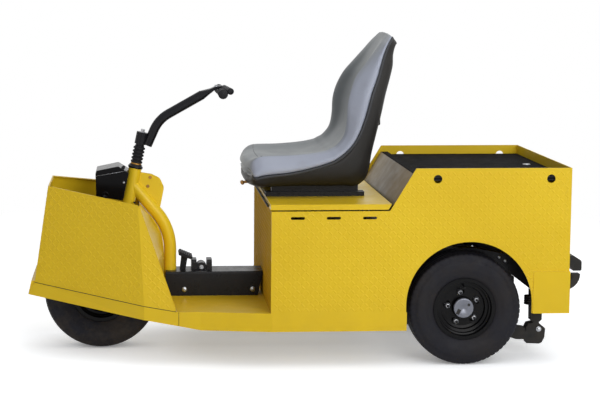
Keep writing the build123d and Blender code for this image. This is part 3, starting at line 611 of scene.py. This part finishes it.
def wheels():
    """Tyres and trim of the three wheels."""
    front = at(*FRONT_AXLE)
    tyre("front_tyre_dressed", FRONT_R, 6.0, front, "dusty", "front_wheel", "front_tyre")
    for side, outward in (("left", 1), ("right", -1)):
        centre = at(outward * REAR_AXLE[0], *REAR_AXLE[1:])
        body = "rear_wheel_" + side
        tyre(f"rear_tyre_{side}_dressed", REAR_R, 2.4, centre, "tyre", body, "rear_tyre_" + side)
        wheel_trim("rear_" + side, centre, outward, body)
        hub_shade_patches("rear_" + side, centre, outward, body)
    nuts, ends = Heap(), Heap()
    nut = mm([(9.0, 0), (11.6, 1.0), (11.0, 9), (8.4, 14), (0, 15)])
    for spot in lug_spots(front, RIM_FACE):
        nuts.add(*lathe(nut, spot, (1, 0, 0), 14))
    nuts.make("front_lug_nuts", "steel", "front_wheel")
    for outward in (1, -1):
        ends.add(*placed(hex_bolt(14, 11), front + Vector((0.088 * outward, 0, 0)), (outward, 0, 0)))
    ends.make("front_axle_nuts", "steel", "steering", False)


# ---------------------------------------------------------------- seat

# (seam y, seam z, ridge y, ridge z, seam half width, ridge half width, dish, bow) down the seat
SEAT = (
    (-794, 688, -797, 710, 226, 200, 2, 0), (-791, 681, -792, 727, 236, 204, 5, 0),
    (-780, 680, -780, 743, 242, 206, 9, 0), (-740, 686, -742, 757, 245, 206, 16, 0),
    (-632, 697, -640, 760, 246, 205, 20, 0), (-545, 716, -556, 767, 246, 205, 20, 0),
    (-480, 737, -500, 777, 246, 205, 18, 4),
    (-455, 751, -480, 786, 246, 205, 17, 8), (-430, 771, -458, 799, 246, 205, 18, 12),
    (-397, 808, -433, 832, 246, 205, 24, 18), (-372, 858, -423, 880, 246, 205, 36, 22),
    (-350, 925, -420, 941, 245, 204, 42, 25), (-334, 985, -408, 993, 240, 193, 42, 25),
    (-311, 1045, -384, 1048, 222, 165, 38, 25), (-296, 1090, -349, 1092, 203, 150, 26, 25),
    (-280, 1134, -312, 1137, 180, 133, 12, 24), (-262, 1170, -282, 1174, 160, 117, 4, 22),
    (-242, 1195, -252, 1207, 128, 92, -4, 12),
)
SHELL_DEPTH = (18, 26, 36, 50, 58, 80, 111, 139, 135, 92, 73, 66, 63, 58, 55, 43, 37, 36)


def smooth_rows(rows, steps):
    """Catmull-Rom points through rows of numbers."""
    out = []
    last = len(rows) - 1
    for i in range(last):
        p = [rows[max(i - 1, 0)], rows[i], rows[i + 1], rows[min(i + 2, last)]]
        for s in range(steps):
            t = s / steps
            out.append([0.5 * (2 * b + (c - a) * t + (2 * a - 5 * b + 4 * c - d) * t * t
                               + (3 * b - a - 3 * c + d) * t ** 3) for a, b, c, d in zip(*p)])
    return out + [list(rows[last])]


def seat_frame(row):
    """A row's seam point, the direction from there up to its ridge, and how far that is."""
    seam = Vector((0, row[0], row[1]))
    up = Vector((0, row[2], row[3])) - seam
    return seam, up.normalized(), up.length


def on_seat(x, y, z):
    """A point of the seat in the row's frame, with the front corners drawn back to round the nose in plan."""
    near_front = min(1.0, max(0.0, (-705 - y) / 80))     # 0 behind y -705, 1 ahead of y -785
    return at(x, y + 26 * near_front * (abs(x) / 235) ** 3, z)


def padding_curve(row, rise):
    """Half outline of the padding from the middle of its back to the middle of its face."""
    seam_x, ridge_x, dish, bow = row[4:8]
    corner = min(9.0, 0.3 * rise)
    return [(0, -bow), (0.3 * seam_x, -0.94 * bow), (0.6 * seam_x, -0.75 * bow), (0.86 * seam_x, -0.32 * bow),
            (seam_x - 1, 0.4), (seam_x + 2.5, 0.16 * rise), (seam_x + 3, 0.36 * rise),
            (0.35 * ridge_x + 0.65 * seam_x, 0.62 * rise), (0.62 * ridge_x + 0.38 * seam_x, 0.84 * rise),
            (ridge_x + corner * 0.55, rise - corner * 0.42), (ridge_x, rise),
            (ridge_x - corner, rise - corner * 0.16),
            (ridge_x - 26, rise - 0.2 * dish), (ridge_x - 44, rise - 0.52 * dish), (ridge_x - 62, rise - 0.82 * dish),
            (0.42 * ridge_x, rise - 0.96 * dish), (0.2 * ridge_x, rise - dish), (0, rise - dish)]


def shell_curve(row, _):
    """Half outline of the shell under the padding; the row's last number is how deep it is."""
    seam_x, bow, depth = row[4], row[7], row[8]
    return [(0, -bow - 1), (0.6 * seam_x, -0.75 * bow - 1), (seam_x - 2, -1), (seam_x - 4, -0.16 * depth),
            (seam_x - 8, -0.5 * depth), (0.9 * seam_x, -0.78 * depth), (0.78 * seam_x, -0.93 * depth),
            (0.6 * seam_x, -depth), (0.3 * seam_x, -depth), (0, -depth)]


def seat_skin(rows, curve, flip=False):
    """One skin through the rows, each with the ring that its half outline gives."""
    verts = []
    for row in rows:
        seam, up, rise = seat_frame(row)
        ring = mirrored(curve(row, rise))
        verts += [on_seat(*(seam + up * h + Vector((x, 0, 0)))) for x, h in ring]
    return verts, skin(len(rows), len(ring), flip)


def seat_padding():
    """The moulded cushion and back in one skin, its ends closed over rounded rims."""
    piece = make("seat_padding", *seat_skin(smooth_rows(SEAT, 5), padding_curve, flip=True), "vinyl", "seat")
    rounding = piece.modifiers.new("round", "SUBSURF")
    rounding.levels = rounding.render_levels = 1
    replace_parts(piece, "seat_vinyl")


def seat_shell():
    """Moulded shell under the padding, its document ledge, the two slide runners and the release lever."""
    rows = smooth_rows([row + (depth,) for row, depth in zip(SEAT, SHELL_DEPTH)], 5)
    shell = make("seat_shell", *seat_skin(rows, shell_curve), "shell", "seat")
    runners = Heap()
    for x in (-RAIL_X, RAIL_X):
        for half_width, low, high in ((7, 609, 654), (14, 605.5, 609.5)):
            section = [(-695, low), (-695, high), (-369, high), (-369, low)]
            runners.add(*prism(section, x - half_width, x + half_width))
    slides = runners.make("seat_runners", "black", "seat", False)
    ledge = make("document_ledge", *prism([(-322, 925), (-282, 918), (-281, 862), (-322, 856)], -120, 120),
                 "shell", "seat", False)
    bevel(ledge, 0.004)
    for piece in (shell, slides, ledge):
        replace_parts(piece, "seat_pan")
    rods = Heap()
    rods.add(*tube_along([at(100, -800, 646), at(100, -768, 648)], 0.005, 12))
    rods.add(*tube_along([at(92, -800, 646), at(124, -800, 646)], 0.007, 14))
    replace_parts(rods.make("seat_lever_rods", "zinc", "seat"), "seat_lever")


def seat_welt():
    """The grey edging strip pressed over the joint of padding and shell, and the rear rim."""
    rows = smooth_rows(SEAT, 4)
    heap = Heap()
    for side in (1, -1):
        verts = []
        for row in rows:
            seam, up, _ = seat_frame(row)
            x = row[4]
            for w, h in ((x - 6, 0.6), (x + 1.5, 1.2), (x + 3.2, -1.5), (x + 1.8, -8.5), (x - 3.0, -9.5),
                         (x - 6, -8)):
                point = seam + up * h + Vector((w, 0, 0))
                verts.append(on_seat(side * point.x, point.y, point.z))
        faces = skin(len(rows), 6, ends=False)
        heap.add(verts, faces if side < 0 else [face[::-1] for face in faces])
    heap.make("seat_welt", "welt", "seat")


def seat_seam():
    """Sewn line across the cushion, a little behind its front edge."""
    row = SEAT[3]
    seam, up, rise = seat_frame(row)
    half = padding_curve(row, rise)[10:]
    line = [on_seat(x, *(seam + up * (h + 0.1))[1:]) for x, h in half + [(-x, h) for x, h in half[-2::-1]]]
    make("seat_seam", *tube_along(line, 0.0008, 6), "welt", "seat")


# ---------------------------------------------------------------- fittings

def bolts():
    """Visible fasteners on the fixed body."""
    bright, dark, plated = Heap(), Heap(), Heap()
    for side in (1, -1):
        for y, z in ((-1016, 228), (-755, 227)):      # pedal tunnel
            bright.add(*lathe(dome(10.5, 5.5), at(side * 60, y, z), (side, 0, 0), 24))
        for y, z in ((-1145, 653), (-1154, 619)):     # gusset of the steering head
            plated.add(*placed(hex_bolt(5.0, 5.0), at(side * 4, y, z), (side, 0, 0)))
        for y, z in ((155, 376), (178, 362)):         # frame rail, seen in the wheel arch
            bright.add(*lathe(dome(6.0, 3.0), at(side * 225, y, z), (side, 0, 0), 16))
        bright.add(*placed(hex_bolt(8.0, 7.0), at(side * 224, 313, 99), (side, 0, 0)))   # spring shackle
        for z in (222, 330):                          # hitch
            dark.add(*placed(hex_bolt(9.0, 7.0), at(side * 46, 392, z), (0, 1, 0)))
        for y, z in ((-1206, 560), (-1188, 550)):     # foot of the steering head
            dark.add(*lathe(dome(5.0, 3.5), at(side * 36, y, z), (side * 0.3, 0.6, 0.8), 14))
    bright.add(*lathe(dome(4.5, 4.0), at(BOX_HALF, -1245, 642), (1, 0, 0), 18))
    bright.make("bright_bolts", "steel", "chassis")
    dark.make("dark_bolts", "black", "chassis", False)
    plated.make("gusset_bolts", "zinc", "chassis", False)


def control_box():
    """Folded case on the steering head with a round boss on each side, a knob on its slope and a lid seam."""
    outline = [(-1350, 590), (-1352, 675), (-1349, 687), (-1266, 704), (-1226, 679), (-1249, 573)]
    case = make("control_case", *prism(outline, -BOX_HALF, BOX_HALF), "gloss", "chassis", False)
    bevel(case, 0.0025)
    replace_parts(case, "control_box")
    bosses = Heap()
    boss = mm([(13, 0), (13, 4.4), (12.2, 5), (7, 5), (7, 1), (0, 1)])
    for side in (1, -1):
        bosses.add(*lathe(boss, at(side * BOX_HALF, -1315, 596), (side, 0, 0), 28))
    bosses.make("box_bosses", "gloss", "chassis")
    knob = mm([(7, 0), (7, 3), (6, 4), (5.4, 4), (5.4, 8), (4, 9.5), (0, 10)])
    make("box_button", *lathe(knob, at(28, -1248, 692.7), (0, 25, 40), 24), "grip", "chassis")
    seam = [at(BOX_HALF + 0.4, y, z) for y, z in ((-1351, 667), (-1240, 686))]
    make("box_seam", *tube_along(seam, 0.0006, 6), "steel", "chassis")


def head_fittings():
    """Locking ring and plated cup under the boot, and the pinch bolt that tops the stem."""
    lean = Vector((0, math.sin(RAKE), math.cos(RAKE)))
    top = at(*HEAD)
    ring = mm([(26.0, 0.2), (28.0, 0.6), (28.5, 7.5), (27.0, 9.0), (24.8, 9.4), (24.8, 14.0), (21.0, 14.4)])
    make("lock_ring", *lathe(ring, top, lean, 40), "black", "steering")
    cup = mm([(20.0, 14.2), (21.0, 15.0), (20.6, 19.0), (19.0, 21.0), (17.0, 21.6)])
    make("bearing_cup", *lathe(cup, top, lean, 32), "zinc", "steering")
    make("stem_bolt", *placed(hex_bolt(9.0, 12.0), top + lean * 0.140, lean), "steel", "steering", False)


def handle():
    """Crossbar with ribbed grips, the lever against its left half, and the tongue that it is bolted to."""
    middle = at(*HANDLE)
    grips = Heap()
    grips.add(*lathe(mm([(0, -44), (14, -44), (14, 44), (0, 44)]), middle, (1, 0, 0), 32))
    lever = [at(20, -864, 995), at(22, -863.7, 994.9), at(138, -847.3, 991.1), at(140, -847, 991)]
    grips.add(*tube_along(lever, 0.0125, 20))
    profile = [(12.0, 40.0), (12.0, 50.0), (15.0, 51.0)]
    for i in range(9):
        x = 53.0 + 9.0 * i
        profile += [(16.2, x), (17.0, x + 1.2), (17.0, x + 4.6), (16.2, x + 5.8)]
    profile += [(16.2, 136), (18.4, 137), (18.4, 142), (16.6, 144.6), (0, 145.6)]
    for side in (1, -1):
        grips.add(*lathe(mm(profile), middle, (side, 0, 0), 36))
    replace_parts(grips.make("handle_grips", "grip", "steering"), "tiller_handle")
    tongue = [(-926, 978), (-929, 986), (-898, 1000), (-872, 1004), (-862, 1000), (-864, 992), (-884, 993)]
    make("handle_tongue", *prism(tongue, -20, 20), "black", "steering", False)
    bolt = placed(hex_bolt(7.0, 6.0), at(0, -893, 1000.8), (0, -0.16, 0.98))
    make("tip_bolt", *bolt, "steel", "steering", False)


def pedal_trim():
    """Raised bars on the pedal's rubber face, and the pivot's end bolts."""
    bars, pivot = Heap(), Heap()
    along = Vector((0, 53, -22)).normalized()
    face = Vector((0, 22, 53)).normalized()
    start = at(0, -1033, 369)
    for i in range(6):
        spot = start + along * (0.006 + 0.0088 * i)
        ends = [spot + Vector((x, 0, 0)) + face * 0.0006 for x in (-0.033, 0.033)]
        bars.add(*tube_along(ends, 0.0018, 8))
    bars.make("pedal_bars", "grip", "chassis")
    for side in (1, -1):
        pivot.add(*placed(hex_bolt(7.0, 6.0), at(side * 26, -949, 307), (side, 0, 0)))
    pivot.make("pivot_bolts", "steel", "chassis", False)


def cowl_hem():
    """Return flange turned in along the cowl's top edge."""
    edge = [(303, -1192, 590), (150, -1525, 642), (-150, -1525, 642), (-303, -1192, 590)]
    inward = [(-1, 0), (-0.86, 0.5), (0.86, 0.5), (1, 0)]
    verts, faces = [], []
    for in_x, in_y, drop in ((3.6, 4.0, 0.6), (10, 10, 2.0), (9, 9, 5.0)):
        verts += [at(x + in_x * dx, y + in_y * dy, z - drop) for (x, y, z), (dx, dy) in zip(edge, inward)]
    for i in range(3):
        faces += [(i, i + 1, 5 + i, 4 + i), (4 + i, 5 + i, 9 + i, 8 + i), (8 + i, 9 + i, i + 1, i)]
    make("cowl_hem", verts, faces, "yellow", "chassis", False)


def cowl_foot():
    """Kick plate ahead of the nose with its ledge, and thin black lines round the foot of the cowl: painted shadow in
    the gaps of its joints.
    """
    section = [(-1576, 286), (-1591, 286), (-1602.8, 234.6), (-1600, 234.6), (-1577, 282)]
    make("kick_plate", *prism(section, -151, 151), "yellow", "chassis", False)
    painted_shadow_lines = Heap()
    # Painted shadow: black lines along the cowl's lower edge and down the skirt's rear end.
    for side in (1, -1):
        edge = [(157.4, -1578, 280.6), (340.3, -1172, 225.6), (340.3, -1056, 204.6)]
        painted_shadow_lines.add(*tube_along([at(side * x, y, z) for x, y, z in edge], 0.0011, 6))
        painted_shadow_lines.add(*tube_along([at(side * 340.2, -1046, z) for z in (203, 152)], 0.0009, 6))
    painted_shadow_lines.make("cowl_painted_shadow_lines", "black", "chassis")


def shield_fold():
    """Fold of the leg shield that lies close along the curved tube."""
    steps, bend, apart = 12, 220, 25.0   # bend: radius of the tube's curve; apart: how far ahead of it the fold is
    verts = []
    for i in range(steps + 1):
        turned = math.radians(44.0 * i / steps)
        y = -1069 - bend * (1 - math.cos(turned)) - apart * math.cos(turned)
        z = 376 + bend * math.sin(turned) - apart * math.sin(turned)
        verts += [at(x, y - gap, z) for x, gap in ((-34, 0), (34, 0), (34, 3), (-34, 3))]
    make("shield_fold", verts, skin(steps + 1, 4), "yellow", "chassis", False)


def bed_edge():
    """Rubber edging over the fold at the bed's front."""
    section = [(-193, 704.2), (-193, 705.4), (-166, 705.4), (-166, DECK_Z), (-168.4, DECK_Z), (-168.4, 704.2)]
    make("bed_edging", *prism(section, -371, 371), "mat", "chassis", False)


def lid_hinge():
    """Knuckled hinge along the front of the seat lid."""
    fixed, moving = Heap(), Heap()
    count, wide = 18, 36.0
    knuckle = mm([(0, 0.6), (3.6, 0.6), (3.6, wide - 0.6), (0, wide - 0.6)])
    for i in range(count):
        heap = fixed if i % 2 else moving
        heap.add(*lathe(knuckle, at((i - 0.5 * count) * wide, *LID_HINGE), (1, 0, 0), 12))
    fixed.make("hinge_fixed", "cast", "chassis")
    moving.make("hinge_moving", "cast", "seat_lid")


def battery_trim():
    """Cell lids, terminal posts and links on the eight batteries under the seat."""
    caps, metal = Heap(), Heap()
    spots = [(-240 + 160 * column, -598 + 200 * row) for column in range(4) for row in range(2)]
    top = 520
    lid = mm([(13, 0), (13, 5), (11, 7), (0, 7)])
    post = mm([(8, 0), (7, 14), (0, 14)])
    for x, y in spots:
        for offset in (-38, 0, 38):
            caps.add(*lathe(lid, at(x + offset, y, top), (0, 0, 1), 20))
        for offset in (52, -52):
            metal.add(*lathe(post, at(x + offset, y + 62, top), (0, 0, 1), 14))
    for x, y in spots[:-2]:
        link = [at(x + 52 + 54 * t, y + 62, top + 16 + 7 * math.sin(math.pi * t)) for t in (0, 0.25, 0.5, 0.75, 1)]
        caps.add(*tube_along(link, 0.006))
    caps.make("battery_caps", "grip", "chassis")
    metal.make("battery_posts", "steel", "chassis")


def deck_pull():
    """Small recessed pull near the bed's rear edge."""
    ring = mm([(15, 0), (15, 1.4), (13.5, 2.0), (10.5, 2.0), (9.5, 0.8), (0, 0.8)])
    make("deck_pull", *lathe(ring, at(-10, 315, DECK_Z), (0, 0, 1), 28), "steel", "chassis")


def slide_screws():
    """Screws that hold the slide rails to the lid."""
    heap = Heap()
    for x in (RAIL_X, -RAIL_X):
        for y in (-700, -366):
            heap.add(*lathe(dome(4.5, 2.2), at(x, y, 604.2), (0, 0, 1), 14))
    heap.make("slide_screws", "steel", "seat_lid")


# ---------------------------------------------------------------- stage

def seen_directly(tree):
    """1 for the rays that show the white background: camera, glossy and transmission rays."""
    path = tree.nodes.new("ShaderNodeLightPath")
    share = path.outputs["Is Camera Ray"]
    for kind in ("Is Glossy Ray", "Is Transmission Ray"):
        largest = tree.nodes.new("ShaderNodeMath")
        largest.operation = "MAXIMUM"
        tree.links.new(share, largest.inputs[0])
        tree.links.new(path.outputs[kind], largest.inputs[1])
        share = largest.outputs[0]
    return share


def stage():
    """White floor that keeps the lamps' shadow, with a painted shadow under the tug from a glow that occlusion dims,
    and fades to plain white further out.
    """
    size = 30.0
    mesh = bpy.data.meshes.new("floor_stage")
    mesh.from_pydata([(-size, -size, 0), (size, -size, 0), (size, size, 0), (-size, size, 0)], [], [(0, 1, 2, 3)])
    floor = bpy.data.objects.new("floor_stage", mesh)
    bpy.context.scene.collection.objects.link(floor)
    g = Graph("floor_stage")
    g.set(Base_Color=g.mix(g.remap(g.noise(0.6, 2.0), 0.3, 0.7), (0.84, 0.86, 0.885, 1), (0.82, 0.84, 0.865, 1)),
          Roughness=0.9, Specular_IOR_Level=0.1)
    # Painted shadow: the floor's glow dims where the tug is near, as a contact shadow.
    painted_shadow_ao = g.add("AmbientOcclusion", {"Distance": 0.3}, samples=8).outputs["AO"]
    painted_shadow_glow = g.add("Emission", {"Color": (1, 1, 1, 1), "Strength": g.remap(painted_shadow_ao, 0.0, 1.0, 0.14, 0.68)})
    plain = g.add("Emission", {"Color": (1, 1, 1, 1), "Strength": 1.0})
    near = g.add("AddShader", {0: g.shader.outputs[0], 1: painted_shadow_glow.outputs[0]})
    away = g.remap(g.reach(0, 1), 1.7, 3.6)
    fade = g.add("MixShader", {0: away, 1: near.outputs[0], 2: plain.outputs[0]})
    lift = g.add("MixShader", {0: seen_directly(g.tree), 1: g.shader.outputs[0], 2: fade.outputs[0]})
    g.put(g.tree.nodes["Material Output"].inputs[0], lift.outputs[0])
    mesh.materials.append(g.material)


def world():
    """Soft light from all round, shown as plain white."""
    sky = bpy.data.worlds.new("studio")
    bpy.context.scene.world = sky
    sky.use_nodes = True
    tree = sky.node_tree
    light = tree.nodes["Background"]
    white = tree.nodes.new("ShaderNodeBackground")
    for node, color, strength in ((light, (0.93, 0.96, 1.0, 1), 0.24), (white, (1, 1, 1, 1), 1.0)):
        node.inputs[0].default_value = color
        node.inputs[1].default_value = strength
    mix = tree.nodes.new("ShaderNodeMixShader")
    for i, source in enumerate((seen_directly(tree), light.outputs[0], white.outputs[0])):
        tree.links.new(source, mix.inputs[i])
    tree.links.new(mix.outputs[0], tree.nodes["World Output"].inputs[0])


def lamp(name, where, towards, size, power, color=(1, 1, 1)):
    """Area lamp of so many metres wide and high that shines at a point."""
    data = bpy.data.lights.new(name, "AREA")
    data.shape = "RECTANGLE"
    data.size, data.size_y = size
    data.energy = power
    data.color = color
    lamp_object = bpy.data.objects.new(name, data)
    bpy.context.scene.collection.objects.link(lamp_object)
    lamp_object.location = where
    lamp_object.rotation_euler = (Vector(towards) - Vector(where)).to_track_quat("-Z", "Y").to_euler()


def lights():
    """Large soft lamps: one overhead, one on the camera's side, two weak fills."""
    lamp("overhead", (1.4, 1.0, 4.2), (0.1, 0, 0.4), (4.0, 3.0), 56)
    lamp("camera_side", (4.8, 1.8, 2.2), (0.3, 0.1, 0.4), (3.4, 2.8), 128)
    lamp("front_fill", (3.6, -4.0, 1.6), (0, -0.8, 0.4), (2.4, 1.8), 16, (1, 0.84, 0.74))
    lamp("far_fill", (-3.0, -0.4, 4.0), (-0.3, 0, 0.4), (2.4, 2.4), 24)


def camera():
    """Near-square view of the left side, a little above the seat, as fitted to the photo."""
    yaw, pitch, roll = (math.radians(a) for a in (3.03246, 6.15441, 0.13236))
    place = Matrix.Translation(at(5527.67, -1208.95, 1390.14))
    ahead = Vector((-math.cos(yaw) * math.cos(pitch), math.sin(yaw) * math.cos(pitch), -math.sin(pitch)))
    right = Vector((math.sin(yaw), math.cos(yaw), 0))
    up = right.cross(ahead)
    right, up = (right * math.cos(roll) + up * math.sin(roll), up * math.cos(roll) - right * math.sin(roll))
    data = bpy.data.cameras.new("camera")
    data.sensor_width = 36.0
    data.lens = 87.371
    data.shift_x, data.shift_y = 0.15, -0.10
    data.clip_end = 60.0
    eye = bpy.data.objects.new("camera", data)
    eye.matrix_world = place @ Matrix((right, up, -ahead)).transposed().to_4x4()
    bpy.context.scene.collection.objects.link(eye)
    bpy.context.scene.camera = eye


def build():
    finish_nodes()
    plates()
    wheels()
    seat_padding()
    seat_shell()
    seat_welt()
    seat_seam()
    bolts()
    control_box()
    head_fittings()
    handle()
    pedal_trim()
    cowl_hem()
    cowl_foot()
    shield_fold()
    bed_edge()
    lid_hinge()
    battery_trim()
    deck_pull()
    slide_screws()
    stage()
    world()
    lights()
    camera()
    bpy.context.scene.view_settings.view_transform = "Standard"


build()
